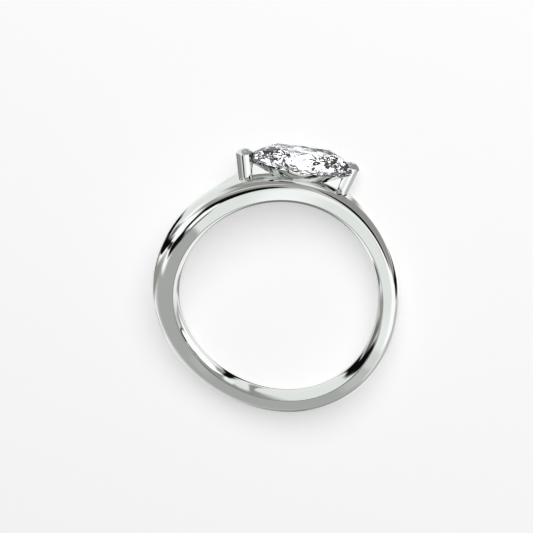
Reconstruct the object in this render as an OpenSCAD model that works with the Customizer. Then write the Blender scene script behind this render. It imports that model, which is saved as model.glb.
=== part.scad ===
// A swirled ring with a marquise stone set lengthways round the finger.
// It is drawn as worn, with the stone up (+Z) and the finger along Y, and laid on its side at the end.
// Angles round the band run from the top towards +X.

/* [Finger hole] */
// Radius of the finger hole along its straight middle
finger_r = 8.25; // [7.5:0.05:9.5]
// Width of the hole's straight middle
land_w = 1.9; // [1.8:0.1:2.2]
// How fast the hole widens to its rims, per square millimetre of half width
comfort = 0.176; // [0.1:0.002:0.2]

/* [Band] */
// Mean half width of the band
half_w = 1.5; // [1.4:0.05:1.8]
// How much half width the widest place has beyond the mean
half_w_swing = 0.18; // [0:0.01:0.2]
// Angle of the widest place
half_w_turn = 42; // [0:1:90]
// How far the band swings to each side of its middle plane
swirl = 0.855; // [0:0.005:0.9]
// Angle by which the swing leads
swirl_turn = 5.8; // [-20:0.1:20]
// Mean radius of the outer crest
crest_r = 10.16; // [9.9:0.01:10.6]
// How far the outer crest is off centre, which makes the top thick
crest_shift = 0.436; // [0:0.01:0.5]
// Angle of the thickest place
crest_turn = -22.5; // [-60:0.5:60]
// How oval the outer crest is
crest_oval = 0.11; // [0:0.01:0.15]
// Angle of the oval's long axis
crest_oval_turn = -40.8; // [-60:0.1:60]
// Height of the flat strip on each side of the band
side_h = 0.5; // [0.3:0.05:0.6]
// How square the rounded outside is: 2 is an ellipse
squareness = 3.5; // [2:0.1:5]

/* [Raised shoulder] */
// How far the shoulder rises to meet the claw behind it
shoulder_h = 0.36; // [0:0.02:0.5]
// Angle of the shoulder's highest place
shoulder_turn = -16; // [-24:1:-8]
// Angle from the highest place to where the rise ends
shoulder_reach = 16; // [8:1:24]

/* [Stone] */
// Length of the stone
stone_l = 9.2; // [8:0.1:10]
// Width of the stone
stone_w = 4.6; // [4:0.1:5]
// Height of the girdle's lower edge above the finger's axis
girdle_z = 11.33; // [11.2:0.01:11.6]
// Thickness of the girdle
girdle_t = 0.25; // [0.15:0.01:0.35]
// Height of the crown above the girdle
crown_h = 1.1; // [0.7:0.05:1.15]
// Depth of the pavilion below the girdle
pavilion_h = 1.65; // [1.5:0.05:2.1]
// Angle round the band at which the stone sits
stone_turn = 9.5; // [0:0.1:15]
// Turn of the stone about its own upright, along the swirl
stone_twist = 11; // [0:0.5:15]
// Place of the stone's middle along the finger
stone_y = 0.6; // [0:0.05:0.8]
// How far the stone's middle sits back along its own length
stone_back = 0; // [0:0.01:0.2]
// Room left between the stone and its seat
seat_gap = 0.04; // [0.02:0.01:0.08]

/* [Claws and gallery] */
// Distance of each claw's middle from the stone's middle, level with the girdle
claw_u = 4.38; // [4.2:0.01:4.6]
// How far both claws sit back along the stone
claw_back = 0.34; // [0:0.01:0.4]
// Outward lean of a claw
claw_lean = 14; // [5:1:20]
// Radius of a claw's foot
claw_foot_r = 0.6; // [0.45:0.01:0.65]
// Radius of a claw's top
claw_top_r = 0.67; // [0.55:0.01:0.75]
// Height of a claw's top above the girdle's lower edge
claw_rise = 0.78; // [0.4:0.02:0.9]
// Radius of the claws' domed tops
dome_r = 0.78; // [0.76:0.02:1.1]
// Thickness of the wall that joins the claws under the stone
rail_t = 0.8; // [0.6:0.05:1.2]
// How far the wall's top stays below the girdle
rail_drop = 0.22; // [0.1:0.02:0.4]
// Distance from the stone to the outside of the cup that it sits in
cup_t = 0.18; // [0.16:0.01:0.24]
// How far the cup's rim stays below the girdle
cup_drop = 0.14; // [0.1:0.01:0.2]

/* [Resting] */
// Lean of the finger's axis from upright when the ring lies on its side
rest_lean = 5.17; // [0:0.01:6]
// Direction of that lean, from +X towards +Y
rest_turn = 128.1; // [-180:0.1:180]

/* [Hidden] */
$fn = 180;
around = 96;
arc_steps = 14;
hole_cut_h = 12;
rough = 20;
inner_stops = [-0.8, -0.42, 0.42, 0.8];
claw_foot_z = 8.5;
rail_foot_z = 9.4;
half_l = stone_l / 2;
half_b = stone_w / 2;
outline_r = (half_l * half_l + half_b * half_b) / (2 * half_b);
outline_c = outline_r - half_b;
tip_turn = asin(half_l / outline_r);
girdle_top_z = girdle_z + girdle_t;
table_z = girdle_top_z + crown_h;
culet_z = girdle_z - pavilion_h;

// The band at angle a round the finger
function half_width(a) = half_w + half_w_swing * cos(a - half_w_turn);
function middle_y(a) = swirl * sin(2 * (a + swirl_turn));
function crest(a) = crest_r + crest_shift * cos(a - crest_turn) + crest_oval * cos(2 * (a - crest_oval_turn));
function rim_r(a) = finger_r + comfort * half_width(a) ^ 2;

// The raised shoulder, which grows across the band from just past its middle
function smooth_step(x) = let (k = min(1, max(0, x))) k * k * (3 - 2 * k);
function rise_along(a) =
    let (k = abs(a - shoulder_turn) / shoulder_reach)
    k < 1 ? cos(90 * k) ^ 2 : 0;
function rise(a, t) = shoulder_h * rise_along(a) * smooth_step((t + 0.1) / 0.7);

// One cross-section as [along the finger, radius] pairs, round the outside and back along the hole
function outer_point(a, q) =
    let (
        t = sign(q) * abs(sin(q)) ^ (2 / squareness),
        dome = abs(q) >= 90 ? 0 : cos(q) ^ (2 / squareness),
        base_r = rim_r(a) + side_h
    )
    [t * half_width(a) + middle_y(a), base_r + (crest(a) - base_r) * dome + rise(a, t)];
function inner_point(a, t) =
    let (
        land = (land_w / 2) ^ 2,
        w = half_width(a),
        flare = ((t * w) ^ 2 - land) / (w * w - land)
    )
    [t * w + middle_y(a), finger_r + (rim_r(a) - finger_r) * flare];
function section(a) = concat(
    [inner_point(a, -1)],
    [for (i = [0:arc_steps]) outer_point(a, -90 + 180 * i / arc_steps)],
    [inner_point(a, 1)],
    [for (i = [len(inner_stops) - 1:-1:0]) inner_point(a, inner_stops[i])]
);
function placed(a, p) = [p[1] * sin(a), p[0], p[1] * cos(a)];

module band() {
    steps = [for (i = [0:around - 1]) 360 * i / around - 180];
    ring = len(section(0));
    points = [for (a = steps) for (p = section(a)) placed(a, p)];
    faces = [
        for (i = [0:around - 1]) for (j = [0:ring - 1])
            let (
                i2 = (i + 1) % around,
                j2 = (j + 1) % ring,
                p = i * ring + j,
                q = i * ring + j2,
                r = i2 * ring + j2,
                s = i2 * ring + j
            )
            each [[p, q, r], [p, r, s]]
    ];
    polyhedron(points, faces, convexity = 6);
}

// The stone's own frame: its length along X, its upright along Z, heights from the finger's axis
module on_head() {
    translate([0, stone_y, 0])
        rotate([0, stone_turn, 0])
            rotate([0, 0, stone_twist])
                children();
}

// A place on the stone's outline, where b is the outline's turn from its middle
function outline_point(b) = [outline_r * sin(b), outline_r * cos(b) - outline_c];
function outline_reach(b) = outline_r - outline_c * cos(b);

// Facets: [turn of the facing direction from the stone's length, slope, [x, y, z] on the facet]
belly_slope = 43;
quarter_slope = 50;
tip_slope = 28;
star_slope = 25;
quarter_b = tip_turn / 2;
half_b_step = tip_turn / 4;
half_slopes = [47, 52, 54, 47];
lower_extra = 3;
function on_girdle(b, z) = [outline_point(b)[0], outline_point(b)[1], z];
function table_in(p, turn, slope) = p - crown_h / tan(slope) * [cos(turn), sin(turn)];
table_belly = table_in([0, half_b], 90, belly_slope);
table_quarter = table_in(outline_point(quarter_b), 90 - quarter_b, quarter_slope);
table_tip = table_in([half_l, 0], 0, tip_slope);
function facing(p, q) = atan2(p[0] - q[0], q[1] - p[1]);
function star(p, q) = [facing(p, q), star_slope, [p[0], p[1], table_z]];
function pavilion_slope(reach) = atan(pavilion_h / reach);

// One quarter of the facets, which the mirrors repeat
crown_facets = concat(
    [
        [90, belly_slope, [0, half_b, girdle_top_z]],
        [90 - quarter_b, quarter_slope, on_girdle(quarter_b, girdle_top_z)],
        [0, tip_slope, [half_l, 0, girdle_top_z]],
        star(table_quarter, table_belly),
        star(table_tip, table_quarter)
    ],
    [for (i = [0:3]) [90 - (i + 0.5) * half_b_step, half_slopes[i], on_girdle(i * half_b_step, girdle_top_z)]]
);
pavilion_facets = concat(
    [for (b = [0, quarter_b]) [90 - b, pavilion_slope(outline_reach(b)), [0, 0, culet_z]]],
    [[0, pavilion_slope(half_l), [0, 0, culet_z]]],
    [
        for (i = [0:3])
            let (b = (i + 0.5) * half_b_step)
            [90 - b, pavilion_slope(outline_reach(b)) + lower_extra, on_girdle(i * half_b_step, girdle_z)]
    ]
);

// What a facet takes off the rough, all of it beyond the facet's plane
module facet_cut(turn, tilt, at, grow) {
    translate(at)
        rotate([0, tilt, turn])
            translate([-rough / 2, -rough / 2, grow])
                cube([rough, rough, rough]);
}

module four_ways() {
    for (mx = [0, 1]) for (my = [0, 1])
        mirror([mx, 0, 0])
            mirror([0, my, 0])
                children();
}

// The cut stone; grow moves every face outwards by that much, which makes its seat
module cut_stone(grow) {
    bottom_z = culet_z - grow;
    rough_h = table_z - culet_z + 2 * grow;
    translate([-stone_back, 0, 0])
        difference() {
            intersection() {
                translate([0, -outline_c, bottom_z]) cylinder(h = rough_h, r = outline_r + grow);
                translate([0, outline_c, bottom_z]) cylinder(h = rough_h, r = outline_r + grow);
            }
            four_ways() {
                for (f = crown_facets) facet_cut(f[0], f[1], f[2], grow);
                for (f = pavilion_facets) facet_cut(f[0], 180 - f[1], f[2], grow);
            }
        }
}

// A claw stands on the band, leans out past the stone's tip and closes over it with a dome
module claw(side) {
    claw_h = (girdle_z + claw_rise - claw_foot_z) / cos(claw_lean);
    foot_u = claw_u - (girdle_z - claw_foot_z) * tan(claw_lean);
    translate([side * foot_u - claw_back, 0, claw_foot_z])
        rotate([0, side * claw_lean, 0])
            intersection() {
                cylinder(h = claw_h, r1 = claw_foot_r, r2 = claw_top_r);
                union() {
                    translate([0, 0, claw_h - dome_r]) sphere(r = dome_r);
                    cylinder(h = claw_h - dome_r, r = dome_r);
                }
            }
}

// The wall between the claws
module rail() {
    rail_l = 2 * (claw_u - (girdle_z - claw_foot_z) * tan(claw_lean));
    translate([-rail_l / 2 - claw_back, -rail_t / 2, rail_foot_z])
        cube([rail_l, rail_t, girdle_z - rail_drop - rail_foot_z]);
}

// The thin cup that follows the stone's pavilion from claw to claw, up to just below its girdle
module cup() {
    intersection() {
        cut_stone(cup_t);
        translate([-claw_u - claw_back, -rough / 2, girdle_z - cup_drop - rough])
            cube([2 * claw_u, rough, rough]);
    }
}

// Laid on its far side, with the near side up and the stone towards -Y
module lie_down() {
    rotate([0, 0, rest_turn])
        rotate([0, rest_lean, 0])
            rotate([0, 0, -rest_turn])
                rotate([-90, 0, 180])
                    children();
}

// The whole soldered metal: band, claws, wall and cup, with the stone's seat and the finger hole cut out
module ring_body() {
    color("#d9ddd8")
        lie_down()
            difference() {
                union() {
                    band();
                    on_head() {
                        claw(-1);
                        claw(1);
                        rail();
                        cup();
                    }
                }
                on_head() cut_stone(seat_gap);
                rotate([90, 0, 0]) cylinder(h = hole_cut_h, r = finger_r, center = true);
            }
}

module marquise_stone() {
    color("#eef3ff")
        lie_down()
            on_head()
                cut_stone(0);
}

ring_body();
marquise_stone();
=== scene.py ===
"""Looks of a polished white gold ring with a marquise stone, lying on its side on a pale floor."""

import logging
import math
from collections.abc import Sequence
from dataclasses import dataclass, field
from enum import Enum

import bmesh
import bpy
from mathutils import Matrix, Vector


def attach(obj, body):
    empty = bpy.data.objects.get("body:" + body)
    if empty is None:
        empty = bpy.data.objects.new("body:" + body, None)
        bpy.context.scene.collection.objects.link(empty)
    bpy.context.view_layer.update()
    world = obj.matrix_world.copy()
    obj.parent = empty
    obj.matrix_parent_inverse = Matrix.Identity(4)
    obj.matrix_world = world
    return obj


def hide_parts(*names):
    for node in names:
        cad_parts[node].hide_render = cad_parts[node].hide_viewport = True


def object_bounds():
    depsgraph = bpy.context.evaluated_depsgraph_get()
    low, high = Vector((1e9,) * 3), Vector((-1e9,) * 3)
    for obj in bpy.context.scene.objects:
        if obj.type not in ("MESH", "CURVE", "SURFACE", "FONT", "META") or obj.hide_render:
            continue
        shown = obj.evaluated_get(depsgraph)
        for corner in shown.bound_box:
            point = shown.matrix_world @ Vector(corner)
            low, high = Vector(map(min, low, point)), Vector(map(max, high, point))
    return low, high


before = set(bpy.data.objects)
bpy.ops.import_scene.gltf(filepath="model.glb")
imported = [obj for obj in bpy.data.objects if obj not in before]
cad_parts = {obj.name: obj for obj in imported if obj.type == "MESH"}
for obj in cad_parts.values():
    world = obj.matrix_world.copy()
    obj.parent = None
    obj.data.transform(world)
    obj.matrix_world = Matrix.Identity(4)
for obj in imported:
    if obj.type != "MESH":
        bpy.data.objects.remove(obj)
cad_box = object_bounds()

log = logging.getLogger("ring")

MM = 0.001
IMAGE_PX = 533


def linear(hex_colour: str) -> tuple[float, float, float, float]:
    """Turn an sRGB hex colour into the linear colour that the nodes take.

    Args:
        hex_colour: Six hex digits, such as "d9ddd8".

    Returns:
        Linear red, green, blue and an alpha of one.
    """
    channels = [int(hex_colour[i:i + 2], 16) / 255 for i in (0, 2, 4)]
    light = [c / 12.92 if c <= 0.04045 else ((c + 0.055) / 1.055) ** 2.4 for c in channels]
    return (*light, 1.0)


def smooth_step(x: float) -> float:
    """Return x eased from 0 to 1, held at both ends."""
    k = min(1.0, max(0.0, x))
    return k * k * (3 - 2 * k)


def add_node(
    tree: bpy.types.NodeTree,
    kind: str,
    settings: dict[str, object] | None = None,
    inputs: dict[str | int, object] | None = None,
) -> bpy.types.Node:
    """Add one node, with its settings, its plain values and its links.

    Args:
        tree: The node tree that it goes into.
        kind: The node's type name, such as "ShaderNodeMath".
        settings: Attributes of the node, by name.
        inputs: Values or output sockets for its inputs, by name or number.

    Returns:
        The new node.
    """
    node = tree.nodes.new(kind)
    for name, value in (settings or {}).items():
        setattr(node, name, value)
    for key, value in (inputs or {}).items():
        socket = node.inputs[key]
        if isinstance(value, bpy.types.NodeSocket):
            tree.links.new(value, socket)
        else:
            socket.default_value = value
    return node


def new_material(name: str) -> tuple[bpy.types.Material, bpy.types.NodeTree, bpy.types.Node]:
    """Make an empty material.

    Args:
        name: The material's plain name.

    Returns:
        The material, its node tree and its output node.
    """
    material = bpy.data.materials.new(name)
    material.use_nodes = True
    material.node_tree.nodes.clear()
    output = material.node_tree.nodes.new("ShaderNodeOutputMaterial")
    return material, material.node_tree, output


def fill_ramp(ramp: bpy.types.ColorRamp, stops: Sequence[tuple[float, str]]) -> None:
    """Put colours on a new ramp, which starts with two stops.

    Args:
        ramp: The ramp to fill.
        stops: Places from 0 to 1, in rising order, each with an sRGB hex colour.
    """
    for i, (place, hex_colour) in enumerate(stops):
        stop = ramp.elements[i] if i < 2 else ramp.elements.new(place)
        stop.position, stop.color = place, linear(hex_colour)


def add_object(name: str, data: bpy.types.ID) -> bpy.types.Object:
    """Put a mesh, a light or a camera into the scene.

    Args:
        name: The object's name.
        data: What the object shows.

    Returns:
        The new object, at the origin.
    """
    made = bpy.data.objects.new(name, data)
    bpy.context.scene.collection.objects.link(made)
    return made


def add_mesh(name: str, bm: bmesh.types.BMesh) -> bpy.types.Object:
    """Put a finished mesh into the scene.

    Args:
        name: The object's name.
        bm: The mesh in metres, which is freed.

    Returns:
        The new object, at the origin.
    """
    mesh = bpy.data.meshes.new(name)
    bm.to_mesh(mesh)
    bm.free()
    return add_object(name, mesh)


class Part(Enum):
    """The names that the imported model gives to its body, its nodes and the metal's slot."""

    BODY = "root"
    METAL_NODE = "ring_body"
    STONE_NODE = "marquise_stone"
    METAL_SLOT = "metal"


class Join(Enum):
    """What a second solid does to the first."""

    SOLDER = "UNION"
    CUT_OUT = "DIFFERENCE"


class Tone(Enum):
    """The shades of the tent's cloth and flags, as sRGB."""

    WHITE = "ffffff"
    BRIGHT = "efefee"
    MINT = "e2e5e3"
    LIGHT = "d2d3d1"
    SILVER = "babab8"
    GREY = "a6a7a5"
    WARM = "93918d"
    DIM = "6b6b69"
    DARK = "343433"
    BLACK = "0b0b0a"
    BLUE = "5a68c8"
    VIOLET = "8d74c4"
    ICE = "b9c6ee"


@dataclass(frozen=True)
class LyingPose:
    """How the ring, drawn as worn with its stone up and the finger along Y, lies on its side."""

    lean_deg: float = 5.17
    turn_deg: float = 128.1

    def matrix(self) -> Matrix:
        """Work out the turn that lays the ring down.

        Returns:
            The turn from the worn ring's frame to the lying one.
        """
        turn = Matrix.Rotation(math.radians(self.turn_deg), 4, "Z")
        lean = Matrix.Rotation(math.radians(self.lean_deg), 4, "Y")
        on_side = Matrix.Rotation(math.pi, 4, "Z") @ Matrix.Rotation(-math.pi / 2, 4, "X")
        return turn @ lean @ turn.inverted() @ on_side


@dataclass(frozen=True)
class PolishedWhiteGold:
    """18 carat white gold, rhodium plated and mirror polished: crisp reflections, faintly green.

    The buffing wheel ran round the band, so its marks are fine rings about the finger's axis. They
    blur each reflection a little and make its edges waver. The marks are drawn coarser than real
    ones, which the picture couldn't show.
    """

    colour: str = "e9ebea"
    worn_colour: str = "e3e6e4"
    roughness: float = 0.03
    roughness_spread: float = 0.4
    mark_mm: float = 0.12
    mark_height_mm: float = 0.00012
    cloud_mm: float = 2.5

    def material(self, pose: LyingPose) -> bpy.types.Material:
        """Make the metal's material.

        Args:
            pose: How the ring lies, which gives the finger's axis.

        Returns:
            The material, on object coordinates.
        """
        material, tree, output = new_material("polished_white_gold")
        place = add_node(tree, "ShaderNodeTexCoord").outputs["Object"]
        axis = pose.matrix().to_3x3() @ Vector((0, 1, 0))
        along = add_node(tree, "ShaderNodeVectorMath", {"operation": "DOT_PRODUCT"}, {0: place, 1: axis})
        out = add_node(tree, "ShaderNodeVectorMath", {"operation": "CROSS_PRODUCT"}, {0: place, 1: axis})
        reach = add_node(tree, "ShaderNodeVectorMath", {"operation": "LENGTH"}, {0: out.outputs[0]})
        ring = add_node(tree, "ShaderNodeCombineXYZ", {}, {
            "X": along.outputs["Value"], "Y": reach.outputs["Value"],
        })
        marks = add_node(tree, "ShaderNodeTexNoise", {}, {
            "Vector": ring.outputs[0], "Scale": 1 / (self.mark_mm * MM), "Detail": 2.0,
        })
        clouds = add_node(tree, "ShaderNodeTexNoise", {}, {
            "Vector": place, "Scale": 1 / (self.cloud_mm * MM), "Detail": 3.0,
        })
        gloss = add_node(tree, "ShaderNodeMapRange", {}, {
            "Value": clouds.outputs["Fac"], "From Min": 0.3, "From Max": 0.7,
            "To Min": self.roughness * (1 - self.roughness_spread),
            "To Max": self.roughness * (1 + self.roughness_spread),
        })
        tint = add_node(tree, "ShaderNodeMix", {"data_type": "RGBA"}, {
            "Factor": clouds.outputs["Fac"], 6: linear(self.colour), 7: linear(self.worn_colour),
        })
        relief = add_node(tree, "ShaderNodeBump", {}, {
            "Height": marks.outputs["Fac"], "Distance": self.mark_height_mm * MM, "Strength": 1.0,
        })
        metal = add_node(tree, "ShaderNodeBsdfPrincipled", {}, {
            "Base Color": tint.outputs[2], "Metallic": 1.0, "Roughness": gloss.outputs["Result"],
            "Normal": relief.outputs[0],
        })
        tree.links.new(metal.outputs[0], output.inputs["Surface"])
        return material


@dataclass(frozen=True)
class CutDiamond:
    """Colourless diamond with polished facets: strong refraction breaks what is round it into flashes.

    The facets show one another many times over, as shards far smaller than a facet. For that, each
    small cell of the surface bends the light its own way. The fire, blue and violet sparks that
    come from dispersion, is a pale tint in the same cells. The girdle is bruted, which leaves a thin
    frosted line round the stone.
    """

    shard_mm: float = 0.65
    shard_tilt: float = 0.2
    fire: tuple[tuple[float, str], ...] = (
        (0.0, "ffffff"), (0.66, "fdfdff"), (0.76, "c9d3fa"), (0.84, "ffffff"), (0.95, "e2d8f8"),
    )
    ior: float = 2.417
    frost: float = 0.12
    girdle_z_mm: float = 11.33
    girdle_t_mm: float = 0.25
    frosted_share: float = 0.9

    def material(self, level_axis: Vector) -> bpy.types.Material:
        """Make the stone's material.

        Args:
            level_axis: The stone's own upright, from which the girdle's height is read.

        Returns:
            The material, on object coordinates.
        """
        material, tree, output = new_material("cut_diamond")
        place = add_node(tree, "ShaderNodeTexCoord").outputs["Object"]
        cells = add_node(tree, "ShaderNodeTexVoronoi", {}, {
            "Vector": place, "Scale": 1 / (self.shard_mm * MM),
        })
        chance = add_node(tree, "ShaderNodeSeparateColor", {}, {0: cells.outputs["Color"]})
        fire = add_node(tree, "ShaderNodeValToRGB", {}, {0: chance.outputs[0]})
        fire.color_ramp.interpolation = "CONSTANT"
        fill_ramp(fire.color_ramp, self.fire)
        height = add_node(tree, "ShaderNodeVectorMath", {"operation": "DOT_PRODUCT"}, {
            0: place, 1: level_axis,
        })
        middle = (self.girdle_z_mm + self.girdle_t_mm / 2) * MM
        on_girdle = add_node(tree, "ShaderNodeMath", {"operation": "COMPARE"}, {
            0: height.outputs["Value"], 1: middle, 2: self.girdle_t_mm / 2 * self.frosted_share * MM,
        })
        frosting = add_node(tree, "ShaderNodeMath", {"operation": "MULTIPLY"}, {
            0: on_girdle.outputs[0], 1: self.frost,
        })
        facing = add_node(tree, "ShaderNodeNewGeometry").outputs["Normal"]
        lean = add_node(tree, "ShaderNodeVectorMath", {"operation": "SUBTRACT"}, {
            0: cells.outputs["Color"], 1: (0.5, 0.5, 0.5),
        })
        bent = add_node(tree, "ShaderNodeVectorMath", {"operation": "MULTIPLY_ADD"}, {
            0: lean.outputs[0], 1: (self.shard_tilt,) * 3, 2: facing,
        })
        shard = add_node(tree, "ShaderNodeVectorMath", {"operation": "NORMALIZE"}, {0: bent.outputs[0]})
        stone = add_node(tree, "ShaderNodeBsdfPrincipled", {}, {
            "Base Color": fire.outputs["Color"], "Roughness": frosting.outputs[0], "IOR": self.ior,
            "Transmission Weight": 1.0, "Normal": shard.outputs[0],
        })
        tree.links.new(stone.outputs[0], output.inputs["Surface"])
        return material


@dataclass
class SwirledBand:
    """The domed band, which swings to each side of its middle plane; angles run from the top to +X."""

    finger_r: float = 8.25
    comfort: float = 0.176
    half_w: float = 1.5
    half_w_swing: float = 0.18
    half_w_turn: float = 42.0
    swirl: float = 0.855
    swirl_turn: float = 5.8
    crest_r: float = 10.16
    crest_shift: float = 0.436
    crest_turn: float = -22.5
    crest_oval: float = 0.11
    crest_oval_turn: float = -40.8
    side_h: float = 0.5
    squareness: float = 3.5
    shoulder_h: float = 0.36
    shoulder_turn: float = -16.0
    shoulder_reach: float = 16.0
    shoulder_from: float = -0.1
    shoulder_blend: float = 0.7
    rim_fillet: float = 0.09
    side_end: float = 1.15
    edge_end: float = 1.3
    spin_r: float = 9.0
    around: int = 300
    across: int = 160

    def half_width(self, a: float) -> float:
        """Return half the band's width at angle a, in degrees."""
        return self.half_w + self.half_w_swing * math.cos(math.radians(a - self.half_w_turn))

    def middle_y(self, a: float) -> float:
        """Return how far the band's middle has swung along the finger at angle a."""
        return self.swirl * math.sin(math.radians(2 * (a + self.swirl_turn)))

    def crest(self, a: float) -> float:
        """Work out how high the dome stands.

        Args:
            a: Angle round the band, in degrees.

        Returns:
            The outer crest's radius.
        """
        thick = self.crest_shift * math.cos(math.radians(a - self.crest_turn))
        oval = self.crest_oval * math.cos(math.radians(2 * (a - self.crest_oval_turn)))
        return self.crest_r + thick + oval

    def rise(self, a: float, t: float) -> float:
        """Work out how much the shoulder behind the left claw is raised.

        Args:
            a: Angle round the band, in degrees.
            t: Place across the band, from -1 to 1.

        Returns:
            The height that it adds to the radius.
        """
        k = abs(a - self.shoulder_turn) / self.shoulder_reach
        along = math.cos(math.radians(90 * k)) ** 2 if k < 1 else 0.0
        return self.shoulder_h * along * smooth_step((t - self.shoulder_from) / self.shoulder_blend)

    def section(self, a: float, u: float) -> tuple[float, float]:
        """Return one point of the cross-section at angle a.

        Args:
            a: Angle round the band, in degrees.
            u: Place round the section, -2 to 2: the outside between -1 and 1, then the two flat
                sides, their rounded inner edges, and the finger hole, which meets itself at 2.

        Returns:
            The place along the finger and the radius.
        """
        w = self.half_width(a)
        rim_r = self.finger_r + self.comfort * w * w
        base_r = rim_r + self.side_h
        side = math.copysign(1.0, u)
        au = abs(u)
        if au <= 1:
            p = self.squareness / 2
            q = math.pi / 2 * au ** p / (au ** p + (1 - au) ** p)
            t = side * math.sin(q) ** (2 / self.squareness)
            dome = max(0.0, math.cos(q)) ** (2 / self.squareness)
            return t * w + self.middle_y(a), base_r + (self.crest(a) - base_r) * dome + self.rise(a, t)
        edge = self.rim_edge(w, 0.0)
        if au <= self.side_end:
            k = (au - 1) / (self.side_end - 1)
            r = base_r + (edge[1] - base_r) * k + self.rise(a, side) * (1 - k)
            return side * w + self.middle_y(a), r
        if au <= self.edge_end:
            edge = self.rim_edge(w, (au - self.side_end) / (self.edge_end - self.side_end))
            return side * edge[0] + self.middle_y(a), edge[1]
        t = side * (2 - au) / (2 - self.edge_end) * self.rim_edge(w, 1.0)[0]
        return t + self.middle_y(a), self.finger_r + self.comfort * t * t

    def rim_edge(self, w: float, k: float) -> tuple[float, float]:
        """Return a point of the rounded edge between a flat side and the finger hole.

        Args:
            w: Half the band's width there.
            k: Place on the edge, from 0 at the flat side to 1 at the hole.

        Returns:
            The place across the band, from its middle, and the radius.
        """
        slope = math.atan(2 * self.comfort * w)
        reach = self.rim_fillet / math.tan((math.pi / 2 + slope) / 2)
        turn = -k * (math.pi / 2 - slope)
        rim_r = self.finger_r + self.comfort * w * w
        return (
            w - self.rim_fillet * (1 - math.cos(turn)),
            rim_r + reach + self.rim_fillet * math.sin(turn),
        )

    def build(self) -> bmesh.types.BMesh:
        """Spin a plain round section into a band and shape each of its points.

        Returns:
            The band in millimetres, in the worn ring's frame.
        """
        bm = bmesh.new()
        bmesh.ops.create_circle(bm, cap_ends=False, radius=1.0, segments=self.across)
        to_section = Matrix.Translation((0, 0, self.spin_r)) @ Matrix.Rotation(math.pi / 2, 4, "Y")
        bmesh.ops.transform(bm, matrix=to_section, verts=bm.verts)
        bmesh.ops.spin(
            bm, geom=bm.verts[:] + bm.edges[:], cent=(0, 0, 0), axis=(0, 1, 0), dvec=(0, 0, 0),
            angle=2 * math.pi, steps=self.around, use_merge=True, use_duplicate=False,
        )
        for vert in bm.verts:
            x, y, z = vert.co
            a = math.atan2(x, z)
            u = math.atan2(y, math.hypot(x, z) - self.spin_r) / (math.pi / 2)
            along, r = self.section(math.degrees(a), u)
            vert.co = (r * math.sin(a), along, r * math.cos(a))
        bmesh.ops.recalc_face_normals(bm, faces=bm.faces)
        return bm


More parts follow.
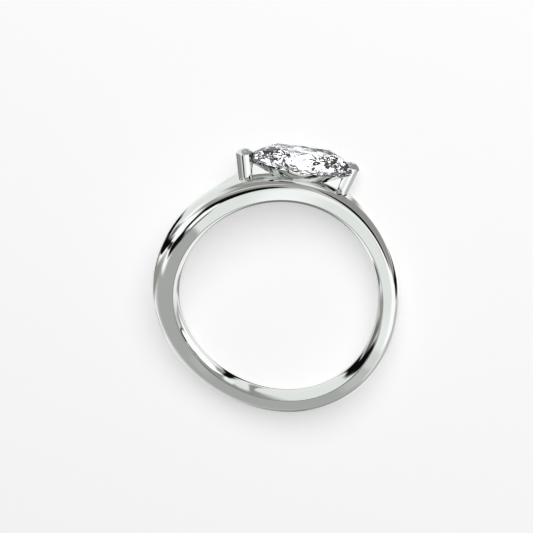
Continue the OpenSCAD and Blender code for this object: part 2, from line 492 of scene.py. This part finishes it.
@dataclass
class MarquiseSetting:
    """Two round domed claws, the wall between them and the cup, drawn level and set on the band."""

    pose: LyingPose
    claw_u: float = 4.38
    claw_back: float = 0.34
    claw_lean: float = 14.0
    foot_z: float = 8.5
    foot_r: float = 0.6
    top_r: float = 0.67
    rise: float = 0.78
    dome_r: float = 0.78
    dome_steps: int = 16
    lathe_steps: int = 96
    lip_fillet: float = 0.05
    lip_segments: int = 6
    girdle_z: float = 11.33
    wall_t: float = 0.8
    wall_drop: float = 0.22
    wall_foot_z: float = 9.4
    cup_t: float = 0.18
    cup_drop: float = 0.14
    cup_fillet: float = 0.06
    cup_segments: int = 3
    seat_gap: float = 0.04
    turn_deg: float = 9.5
    twist_deg: float = 11.0
    along_y: float = 0.6

    def on_band(self) -> Matrix:
        """Work out where the level setting stands.

        Returns:
            Its place on the worn ring.
        """
        turn = Matrix.Rotation(math.radians(self.turn_deg), 4, "Y")
        twist = Matrix.Rotation(math.radians(self.twist_deg), 4, "Z")
        return Matrix.Translation((0, self.along_y, 0)) @ turn @ twist

    def foot_u(self) -> float:
        """Return how far a claw's foot stands from the stone's middle."""
        return self.claw_u - (self.girdle_z - self.foot_z) * math.tan(math.radians(self.claw_lean))

    def claw(self, side: int) -> bmesh.types.BMesh:
        """Turn one claw on the lathe and lean it outwards.

        Args:
            side: -1 for the left claw, 1 for the right one.

        Returns:
            The claw in millimetres, in the worn ring's frame.
        """
        height = (self.girdle_z + self.rise - self.foot_z) / math.cos(math.radians(self.claw_lean))
        centre_z = height - self.dome_r
        lip_share = (height - self.dome_r / 2) / height
        lip_r = self.foot_r + (self.top_r - self.foot_r) * lip_share
        bm = bmesh.new()
        foot = bm.verts.new((self.foot_r, 0, 0))
        lip = bm.verts.new((lip_r, 0, centre_z + math.sqrt(self.dome_r ** 2 - lip_r ** 2)))
        bm.edges.new((bm.verts.new((0, 0, 0)), foot))
        bm.edges.new((foot, lip))
        last = lip
        rim_turn = math.asin(lip_r / self.dome_r)
        for i in range(1, self.dome_steps + 1):
            b = rim_turn * (1 - i / self.dome_steps)
            point = bm.verts.new((self.dome_r * math.sin(b), 0, centre_z + self.dome_r * math.cos(b)))
            bm.edges.new((last, point))
            last = point
        bmesh.ops.bevel(
            bm, geom=[lip], affect="VERTICES", offset=self.lip_fillet, segments=self.lip_segments,
            profile=0.5, material=-1,
        )
        bmesh.ops.spin(
            bm, geom=bm.verts[:] + bm.edges[:], cent=(0, 0, 0), axis=(0, 0, 1), dvec=(0, 0, 0),
            angle=2 * math.pi, steps=self.lathe_steps, use_merge=True, use_duplicate=False,
        )
        bmesh.ops.remove_doubles(bm, verts=bm.verts, dist=1e-4)
        lean = Matrix.Rotation(math.radians(side * self.claw_lean), 4, "Y")
        stand = Matrix.Translation((side * self.foot_u() - self.claw_back, 0, self.foot_z)) @ lean
        bmesh.ops.transform(bm, matrix=self.on_band() @ stand, verts=bm.verts)
        bmesh.ops.recalc_face_normals(bm, faces=bm.faces)
        return bm

    def wall(self) -> bmesh.types.BMesh:
        """Shape the upright wall between the claws.

        Returns:
            The wall in millimetres, in the worn ring's frame.
        """
        height = self.girdle_z - self.wall_drop - self.wall_foot_z
        bm = bmesh.new()
        bmesh.ops.create_cube(bm, size=1.0)
        bmesh.ops.scale(bm, vec=(2 * self.foot_u(), self.wall_t, height), verts=bm.verts)
        middle = Matrix.Translation((-self.claw_back, 0, self.wall_foot_z + height / 2))
        bmesh.ops.transform(bm, matrix=self.on_band() @ middle, verts=bm.verts)
        return bm

    def grown_stone(self, stone: bpy.types.Object, grow: float) -> bmesh.types.BMesh:
        """Copy the stone, close its loose triangles and push its faces out.

        Args:
            stone: The CAD stone, which stays as it is.
            grow: How far each face moves out.

        Returns:
            The larger stone in millimetres, level, as the setting is drawn.
        """
        bm = bmesh.new()
        bm.from_mesh(stone.data)
        bmesh.ops.remove_doubles(bm, verts=bm.verts, dist=1e-6)
        bmesh.ops.recalc_face_normals(bm, faces=bm.faces)
        level = (self.pose.matrix() @ Matrix.Scale(MM, 4) @ self.on_band()).inverted()
        bmesh.ops.transform(bm, matrix=level, verts=bm.verts)
        bm.normal_update()
        moves = [vert.normal * vert.calc_shell_factor() * grow for vert in bm.verts]
        for vert, move in zip(bm.verts, moves):
            vert.co += move
        return bm

    def cup(self, stone: bpy.types.Object) -> bmesh.types.BMesh:
        """Shape the cup that follows the stone from claw to claw, with a softened rim.

        Args:
            stone: The CAD stone that the cup fits.

        Returns:
            The cup in millimetres, solid until the seat is cut, in the worn ring's frame.
        """
        bm = self.grown_stone(stone, self.cup_t)
        rim_z = self.girdle_z - self.cup_drop
        ends = ((-self.claw_u - self.claw_back, -1), (self.claw_u - self.claw_back, 1))
        cuts = [((0, 0, rim_z), (0, 0, 1))] + [((u, 0, 0), (side, 0, 0)) for u, side in ends]
        for place, facing in cuts:
            everything = bm.verts[:] + bm.edges[:] + bm.faces[:]
            cut = bmesh.ops.bisect_plane(
                bm, geom=everything, dist=1e-5, plane_co=place, plane_no=facing, clear_outer=True,
            )["geom_cut"]
            edges = [part for part in cut if isinstance(part, bmesh.types.BMEdge)]
            bmesh.ops.holes_fill(bm, edges=edges, sides=0)
        rim = [edge for edge in bm.edges if all(abs(vert.co.z - rim_z) < 1e-4 for vert in edge.verts)]
        bmesh.ops.bevel(
            bm, geom=rim, affect="EDGES", offset=self.cup_fillet, segments=self.cup_segments,
            profile=0.5, material=-1, clamp_overlap=True,
        )
        bmesh.ops.transform(bm, matrix=self.on_band(), verts=bm.verts)
        bmesh.ops.recalc_face_normals(bm, faces=bm.faces)
        return bm

    def seat_cutter(self, stone: bpy.types.Object) -> bmesh.types.BMesh:
        """Shape the solid that leaves the stone's seat.

        Args:
            stone: The CAD stone that the seat fits.

        Returns:
            The cutter in millimetres, in the worn ring's frame.
        """
        bm = self.grown_stone(stone, self.seat_gap)
        bmesh.ops.transform(bm, matrix=self.on_band(), verts=bm.verts)
        return bm


@dataclass
class RingMetal:
    """Band, claws, wall and cup soldered into one piece, with the stone's seat cut out of it."""

    pose: LyingPose
    setting: MarquiseSetting
    finish: PolishedWhiteGold
    band: SwirledBand = field(default_factory=SwirledBand)
    crease_deg: float = 16.0

    def laid_down(self, name: str, bm: bmesh.types.BMesh) -> bpy.types.Object:
        """Lay a worn-frame mesh in millimetres down with the ring and return its object."""
        bmesh.ops.transform(bm, matrix=self.pose.matrix() @ Matrix.Scale(MM, 4), verts=bm.verts)
        return add_mesh(name, bm)

    def combine(self, body: bpy.types.Object, other: bpy.types.Object, join: Join) -> None:
        """Solder another solid to the body or cut it out, and remove the other.

        Args:
            body: The object that changes.
            other: The object that is used up.
            join: What the other does to the body.
        """
        step = body.modifiers.new("combine", "BOOLEAN")
        step.object, step.operation, step.solver = other, join.value, "EXACT"
        bpy.context.view_layer.update()
        graph = bpy.context.evaluated_depsgraph_get()
        mesh = bpy.data.meshes.new_from_object(body.evaluated_get(graph))
        body.modifiers.clear()
        body.data = mesh
        log.info("%s: %s %s", body.name, join.value.lower(), other.name)
        bpy.data.objects.remove(other)

    def build(self, stone: bpy.types.Object) -> bpy.types.Object:
        """Build, solder and dress the metal.

        Args:
            stone: The CAD stone, which the cup and the seat fit.

        Returns:
            The finished metal.
        """
        head = self.laid_down("left_claw", self.setting.claw(-1))
        for name, bm in (
            ("right_claw", self.setting.claw(1)),
            ("wall", self.setting.wall()),
            ("cup", self.setting.cup(stone)),
        ):
            self.combine(head, self.laid_down(name, bm), Join.SOLDER)
        metal = self.laid_down("ring_metal", self.band.build())
        self.combine(metal, head, Join.SOLDER)
        seat = self.laid_down("stone_seat", self.setting.seat_cutter(stone))
        self.combine(metal, seat, Join.CUT_OUT)
        metal.data.materials.clear()
        metal.data.materials.append(self.finish.material(self.pose))
        metal.data.polygons.foreach_set("use_smooth", [True] * len(metal.data.polygons))
        metal.data.set_sharp_from_angle(angle=math.radians(self.crease_deg))
        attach(metal, Part.BODY.value)
        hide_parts(Part.METAL_NODE.value)
        return metal


@dataclass
class MarquiseStone:
    """The cut stone, which keeps its CAD shape and gets its finish here."""

    pose: LyingPose
    setting: MarquiseSetting
    finish: CutDiamond

    def dress(self) -> bpy.types.Object:
        """Put the finish on the CAD stone.

        Returns:
            The dressed stone.
        """
        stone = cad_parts[Part.STONE_NODE.value]
        upright = (self.pose.matrix() @ self.setting.on_band()).to_3x3() @ Vector((0, 0, 1))
        stone.data.materials.clear()
        stone.data.materials.append(self.finish.material(upright))
        return stone


@dataclass(frozen=True)
class TentPatch:
    """A soft-edged patch of the tent, light or dark, placed in degrees as the worn ring sees it.

    Longitude runs from the viewer to the right and on round the back, latitude is above the
    horizon, and roll turns the patch with its right end up.
    """

    lon: float
    lat: float
    half_lon: float
    half_lat: float
    tone: Tone
    soft: float = 0.2
    roll: float = 0.0

    def paint(
        self, tree: bpy.types.NodeTree, way: bpy.types.NodeSocket, under: bpy.types.NodeSocket
    ) -> tuple[bpy.types.NodeSocket, bpy.types.NodeSocket]:
        """Lay the patch over what is painted so far.

        Args:
            tree: The cloth's node tree.
            way: The direction as longitude and latitude in radians.
            under: The colour so far.

        Returns:
            The colour with the patch on it, and how much the patch covers.
        """
        offset = add_node(tree, "ShaderNodeVectorMath", {"operation": "SUBTRACT"}, {
            0: way, 1: (math.radians(self.lon), math.radians(self.lat), 0),
        })
        near = add_node(tree, "ShaderNodeVectorMath", {"operation": "WRAP"}, {
            0: offset.outputs[0], 1: (math.pi,) * 3, 2: (-math.pi,) * 3,
        })
        local = add_node(tree, "ShaderNodeMapping", {"vector_type": "TEXTURE"}, {
            "Vector": near.outputs[0],
            "Rotation": (0, 0, math.radians(self.roll)),
            "Scale": (math.radians(self.half_lon), math.radians(self.half_lat), 1),
        }).outputs[0]
        squared = add_node(tree, "ShaderNodeVectorMath", {"operation": "MULTIPLY"}, {0: local, 1: local})
        reach = add_node(tree, "ShaderNodeVectorMath", {"operation": "LENGTH"}, {0: squared.outputs[0]})
        mask = add_node(tree, "ShaderNodeMapRange", {"interpolation_type": "SMOOTHSTEP"}, {
            "Value": reach.outputs["Value"], "From Min": (1 + self.soft) ** 2,
            "From Max": (1 - self.soft) ** 2, "To Min": 0.0, "To Max": 1.0,
        })
        mixed = add_node(tree, "ShaderNodeMix", {"data_type": "RGBA"}, {
            "Factor": mask.outputs["Result"], 6: under, 7: linear(self.tone.value),
        })
        return mixed.outputs[2], mask.outputs["Result"]


class SeenBy(Enum):
    """Which rays a tent is there for."""

    MIRRORS = "visible_glossy"
    GEMS = "visible_transmission"


@dataclass(frozen=True)
class TentCloth:
    """White nylon lit from outside, with grey and black flags: even glow with soft-edged dark strips.

    The heights shade the cloth from its lowest to its highest latitude. A cloth with no heights is
    bare cards, with nothing between them.
    """

    name: str
    seen_by: SeenBy
    radius_mm: float
    strength: float
    heights: tuple[tuple[float, Tone], ...]
    patches: tuple[TentPatch, ...]
    around: int = 96

    def material(self) -> bpy.types.Material:
        """Make the cloth's material.

        Returns:
            The material, on object coordinates.
        """
        material, tree, output = new_material(self.name + "_nylon")
        place = add_node(tree, "ShaderNodeTexCoord").outputs["Object"]
        way = add_node(tree, "ShaderNodeVectorMath", {"operation": "NORMALIZE"}, {0: place}).outputs[0]
        parts = add_node(tree, "ShaderNodeSeparateXYZ", {}, {0: way})
        nearer = add_node(tree, "ShaderNodeMath", {"operation": "MULTIPLY"}, {
            0: parts.outputs["Y"], 1: -1.0,
        })
        lon = add_node(tree, "ShaderNodeMath", {"operation": "ARCTAN2"}, {
            0: parts.outputs["X"], 1: nearer.outputs[0],
        })
        lat = add_node(tree, "ShaderNodeMath", {"operation": "ARCSINE"}, {0: parts.outputs["Z"]})
        both = add_node(tree, "ShaderNodeCombineXYZ", {}, {"X": lon.outputs[0], "Y": lat.outputs[0]})
        level = add_node(tree, "ShaderNodeMapRange", {}, {
            "Value": lat.outputs[0], "From Min": -math.pi / 2, "From Max": math.pi / 2,
        })
        ramp = add_node(tree, "ShaderNodeValToRGB", {}, {0: level.outputs["Result"]})
        fill_ramp(ramp.color_ramp, [(height / 180 + 0.5, tone.value) for height, tone in self.heights])
        colour, covers = ramp.outputs["Color"], []
        for patch in self.patches:
            colour, cover = patch.paint(tree, both.outputs[0], colour)
            covers.append(cover)
        surface = add_node(tree, "ShaderNodeEmission", {}, {"Color": colour, "Strength": self.strength})
        if not self.heights:
            whole = covers[0]
            for cover in covers[1:]:
                larger = add_node(tree, "ShaderNodeMath", {"operation": "MAXIMUM"}, {0: whole, 1: cover})
                whole = larger.outputs[0]
            clear = add_node(tree, "ShaderNodeBsdfTransparent")
            surface = add_node(tree, "ShaderNodeMixShader", {}, {
                0: whole, 1: clear.outputs[0], 2: surface.outputs[0],
            })
        tree.links.new(surface.outputs[0], output.inputs["Surface"])
        # The cloth is met by reflected and refracted rays alone, so it isn't sampled as a lamp
        material.cycles.emission_sampling = "NONE"
        return material

    def hang(self, pose: LyingPose) -> bpy.types.Object:
        """Hang the tent round the ring.

        Args:
            pose: How the ring lies, because the tent is placed as the worn ring sees it.

        Returns:
            The tent, which faces inwards.
        """
        bm = bmesh.new()
        bmesh.ops.create_uvsphere(
            bm, u_segments=self.around, v_segments=self.around // 2, radius=self.radius_mm * MM,
        )
        bmesh.ops.reverse_faces(bm, faces=bm.faces)
        tent = add_mesh(self.name, bm)
        tent.matrix_world = pose.matrix()
        tent.visible_camera = tent.visible_diffuse = tent.visible_shadow = False
        for kind in SeenBy:
            setattr(tent, kind.value, kind is self.seen_by)
        tent.data.materials.append(self.material())
        return tent


MIRROR_TENT = TentCloth(
    name="mirror_tent", seen_by=SeenBy.MIRRORS, radius_mm=60.0, strength=1.2,
    heights=(
        (-85, Tone.WARM), (-60, Tone.GREY), (-40, Tone.GREY), (-20, Tone.LIGHT), (0, Tone.BRIGHT),
        (30, Tone.LIGHT), (50, Tone.WARM), (70, Tone.WARM), (84, Tone.SILVER),
    ),
    patches=(
        # Below: greys, with a bright card low on the left and a dim strip behind the lowest place
        TentPatch(-60, -50, 34, 14, Tone.SILVER, 0.5),
        TentPatch(-110, -54, 45, 12, Tone.LIGHT, 0.5),
        TentPatch(85, -32, 52, 22, Tone.SILVER, 0.4),
        TentPatch(152, -40, 24, 20, Tone.BRIGHT, 0.5),
        TentPatch(-128, -32, 40, 12, Tone.BRIGHT, 0.35),
        TentPatch(-174, -52, 11, 28, Tone.DIM, 0.4),
        TentPatch(1, -34, 12, 9, Tone.SILVER, 0.6),
        # In front: what the flat near side mirrors
        TentPatch(-28, -30, 32, 17, Tone.GREY, 0.4),
        TentPatch(17, -9, 34, 18, Tone.MINT, 0.3, -45),
        TentPatch(34, -21, 15, 10, Tone.MINT, 0.5),
        TentPatch(-27, -19, 17.5, 15, Tone.GREY, 0.1),
        TentPatch(5, -28, 12, 7, Tone.SILVER, 0.6, -20),
        TentPatch(12, -19, 9, 4, Tone.LIGHT, 0.6, -20),
        TentPatch(-105, -11, 52, 8, Tone.WARM, 0.4),
        TentPatch(-36, -15, 8, 6.5, Tone.WHITE, 0.5, -25),
        # Upper left: white cards, a dim gap and a long black flag
        TentPatch(-100, 42, 74, 21, Tone.MINT, 0.3),
        TentPatch(-62, 33, 10, 11, Tone.WHITE, 0.5),
        TentPatch(-14, 27, 23, 13, Tone.WARM, 0.4),
        TentPatch(-76, 19, 19, 5.5, Tone.DIM, 0.5),
        TentPatch(-41, 13, 19, 9, Tone.WHITE, 0.35),
        TentPatch(-33, 6, 9, 8, Tone.WHITE, 0.35),
        TentPatch(-120, 9, 14, 9.5, Tone.BLACK, 0.3, -3),
        TentPatch(-98, 8, 28, 7, Tone.BLACK, 0.3, -2),
        TentPatch(-72, 7.5, 20, 4.2, Tone.BLACK, 0.35, -4),
        TentPatch(-50, 0.5, 15, 2.6, Tone.BLACK, 0.4, -25),
        TentPatch(-84, 0.8, 26, 1.4, Tone.WHITE, 0.5, -1),
        # Right: a large white card under a black and a grey one
        TentPatch(44, -2, 30, 16.5, Tone.WHITE, 0.2),
        TentPatch(80, 8.5, 30, 4.5, Tone.WHITE, 0.35),
        TentPatch(112, 30, 42, 27, Tone.WARM, 0.12),
        TentPatch(49, 28.5, 16, 15, Tone.BLACK, 0.15, -8),
        TentPatch(95, 4.8, 14, 1.2, Tone.DARK, 0.4, -4),
        TentPatch(92, -13, 22, 4, Tone.SILVER, 0.5),
        TentPatch(118, -2.5, 34, 5, Tone.BLACK, 0.3, -5),
        # In front and above: the black crescent that draws the line over the top
        TentPatch(4, 38, 22, 20, Tone.WARM, 0.4),
        TentPatch(0, 34, 18, 3.5, Tone.LIGHT, 0.5),
        TentPatch(-2, 13, 18, 6.3, Tone.BLACK, 0.15, -3),
        TentPatch(-19, 5, 8.5, 3.8, Tone.BLACK, 0.25, 55),
        TentPatch(-27, -9, 8.5, 6, Tone.BLACK, 0.2, 25),
        TentPatch(-10, 1, 8.5, 4.4, Tone.WHITE, 0.15, 38),
        TentPatch(6, 4, 10, 2, Tone.MINT, 0.4),
        TentPatch(-11, -3.5, 8, 1.0, Tone.DIM, 0.5, 38),
        # Behind: what the finger hole mirrors, with flags that fan out from the far side
        TentPatch(198, 18, 29, 33, Tone.MINT, 0.12),
        TentPatch(160, 34, 9, 22, Tone.MINT, 0.3, 25),
        TentPatch(170.5, 33, 2.0, 26, Tone.WARM, 0.5, 16.5),
        TentPatch(154, 20.5, 3, 18, Tone.WARM, 0.6, 47),
        TentPatch(171.8, 3.4, 1.9, 22, Tone.BLACK, 0.3, 33),
        TentPatch(157.2, 23.5, 2.8, 13, Tone.BLACK, 0.3, 46),
        TentPatch(-147, -9, 9, 4, Tone.GREY, 0.5, 20),
        TentPatch(-139, -5, 9, 5.5, Tone.DIM, 0.5, 10),
        TentPatch(-147, 4, 23, 3.6, Tone.BLACK, 0.3, 35),
        TentPatch(-136, 8, 7, 7.5, Tone.BLACK, 0.3, 30),
        TentPatch(160, -27, 14, 4, Tone.BRIGHT, 0.5, 12),
        TentPatch(172, -21, 16, 2.5, Tone.WARM, 0.5, 15),
        TentPatch(-141, -25, 9, 3.5, Tone.DIM, 0.5, -15),
    ),
)

NEAR_CARDS = TentCloth(
    name="near_cards", seen_by=SeenBy.MIRRORS, radius_mm=20.0, strength=1.2, heights=(),
    patches=(
        # Behind: bright cards and a grey one for the finger hole
        TentPatch(157, -18, 15, 4.5, Tone.GREY, 0.3),
        TentPatch(151, 33, 13, 5, Tone.BRIGHT, 0.4, -42),
        TentPatch(153, 1, 22, 10.5, Tone.WHITE, 0.15, -50),
        TentPatch(146, 12, 10, 12, Tone.WHITE, 0.15),
        TentPatch(141, -4, 8.5, 9, Tone.WHITE, 0.1),
    ),
)

CLOSE_CARDS = TentCloth(
    name="close_cards", seen_by=SeenBy.MIRRORS, radius_mm=14.0, strength=1.2, heights=(),
    patches=(
        # In front: edges the near rim of the hole with a dark line, at the bottom
        TentPatch(0, -24, 30, 19, Tone.BLACK, 0.2),
    ),
)

SPARKLE_TENT = TentCloth(
    name="sparkle_tent", seen_by=SeenBy.GEMS, radius_mm=55.0, strength=2.4,
    heights=((-85, Tone.BRIGHT), (85, Tone.WHITE)),
    patches=(
        # Small black flags for the dark flashes, coloured ones for the sparks
        TentPatch(-30, 30, 7, 6, Tone.BLACK, 0.2, 20),
        TentPatch(20, 50, 9, 5, Tone.BLACK, 0.2, -30),
        TentPatch(75, 20, 5, 9, Tone.BLACK, 0.2),
        TentPatch(-90, 45, 8, 5, Tone.BLACK, 0.2),
        TentPatch(140, 40, 8, 5, Tone.BLACK, 0.2, 15),
        TentPatch(200, 25, 5, 7, Tone.BLACK, 0.2),
        TentPatch(45, 5, 7, 6, Tone.ICE, 0.3),
        TentPatch(-60, 10, 6, 6, Tone.BLUE, 0.3),
        TentPatch(110, 55, 7, 5, Tone.BLUE, 0.3),
        TentPatch(-140, 20, 6, 6, Tone.VIOLET, 0.3),
        TentPatch(170, 65, 12, 5, Tone.ICE, 0.3),
    ),
)


@dataclass
class Studio:
    """Floor, soft light and camera, placed as the photograph places them round the ring."""

    pose: LyingPose
    azimuth_deg: float = 3.886
    elevation_deg: float = 17.341
    distance_mm: float = 150.0
    focal_px: float = 1808.7
    centre_px: tuple[float, float] = (278.173, 298.219)
    sensor_mm: float = 36.0
    floor_reach_mm: float = 600.0
    floor_tone: str = "f9f9f9"
    floor_roughness: float = 0.9
    floor_glow: float = 0.39
    daylight_strength: float = 0.22
    window_w: float = 0.58
    window_size_mm: float = 270.0
    window_from_mm: tuple[float, float, float] = (-60.0, -180.0, 270.0)
    tents: tuple[TentCloth, ...] = (MIRROR_TENT, NEAR_CARDS, CLOSE_CARDS, SPARKLE_TENT)

    def camera(self) -> bpy.types.Object:
        """Place the camera at the photograph's angle to the ring.

        Returns:
            The scene's camera.
        """
        a, e = math.radians(self.azimuth_deg), math.radians(self.elevation_deg)
        right = Vector((math.cos(a), math.sin(a), 0))
        up = Vector((-math.sin(a) * math.sin(e), math.cos(a) * math.sin(e), math.cos(e)))
        back = Vector((math.sin(a) * math.cos(e), -math.cos(a) * math.cos(e), math.sin(e)))
        turn = Matrix((right, up, back)).transposed().to_4x4()
        data = bpy.data.cameras.new("camera")
        data.sensor_width = self.sensor_mm
        data.lens = self.sensor_mm * self.focal_px / IMAGE_PX
        data.shift_x = -(self.centre_px[0] - IMAGE_PX / 2) / IMAGE_PX
        data.shift_y = (self.centre_px[1] - IMAGE_PX / 2) / IMAGE_PX
        data.clip_start, data.clip_end = 0.005, 10.0
        camera = add_object("camera", data)
        camera.matrix_world = self.pose.matrix() @ Matrix.Translation(back * self.distance_mm * MM) @ turn
        bpy.context.scene.camera = camera
        return camera

    def floor(self) -> bpy.types.Object:
        """Lay a sheet of matt white paper under the ring, which shows its soft shadow and no gloss.

        Returns:
            The floor, which neither the metal nor the stone shows.
        """
        bm = bmesh.new()
        bmesh.ops.create_grid(bm, x_segments=1, y_segments=1, size=self.floor_reach_mm * MM)
        bmesh.ops.translate(bm, vec=(0, 0, cad_box[0][2]), verts=bm.verts)
        floor = add_mesh("floor", bm)
        material, tree, output = new_material("matt_white_paper")
        paper = add_node(tree, "ShaderNodeBsdfPrincipled", {}, {
            "Base Color": linear(self.floor_tone), "Roughness": self.floor_roughness,
            "Specular IOR Level": 0.0, "Emission Color": linear(self.floor_tone),
            "Emission Strength": self.floor_glow,
        })
        tree.links.new(paper.outputs[0], output.inputs["Surface"])
        floor.data.materials.append(material)
        floor.visible_glossy = floor.visible_transmission = False
        return floor

    def daylight(self) -> None:
        """Fill the studio with even white light."""
        world = bpy.data.worlds.new("studio")
        world.use_nodes = True
        sky = world.node_tree.nodes["Background"]
        sky.inputs["Color"].default_value = linear(Tone.WHITE.value)
        sky.inputs["Strength"].default_value = self.daylight_strength
        bpy.context.scene.world = world

    def window(self) -> bpy.types.Object:
        """Hang a large soft light on the stone's side, which throws the soft shadow.

        Returns:
            The light, which only the floor catches.
        """
        data = bpy.data.lights.new("window", "AREA")
        data.shape, data.size, data.energy = "DISK", self.window_size_mm * MM, self.window_w
        window = add_object("window", data)
        place = Vector(self.window_from_mm) * MM
        window.matrix_world = Matrix.Translation(place) @ place.to_track_quat("Z", "Y").to_matrix().to_4x4()
        window.visible_glossy = window.visible_transmission = False
        return window

    def build(self) -> None:
        """Set the whole studio up."""
        self.camera()
        self.floor()
        self.daylight()
        self.window()
        for tent in self.tents:
            tent.hang(self.pose)
        bpy.context.scene.view_settings.view_transform = "Standard"


def main() -> None:
    """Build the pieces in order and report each."""
    logging.basicConfig(level=logging.INFO, format="%(name)s: %(message)s")
    pose = LyingPose()
    Studio(pose).build()
    setting = MarquiseSetting(pose)
    stone = MarquiseStone(pose, setting, CutDiamond()).dress()
    metal = RingMetal(pose, setting, PolishedWhiteGold()).build(stone)
    for piece in (metal, stone):
        log.info("%s: %d faces", piece.name, len(piece.data.polygons))


if __name__ == "__main__":
    main()
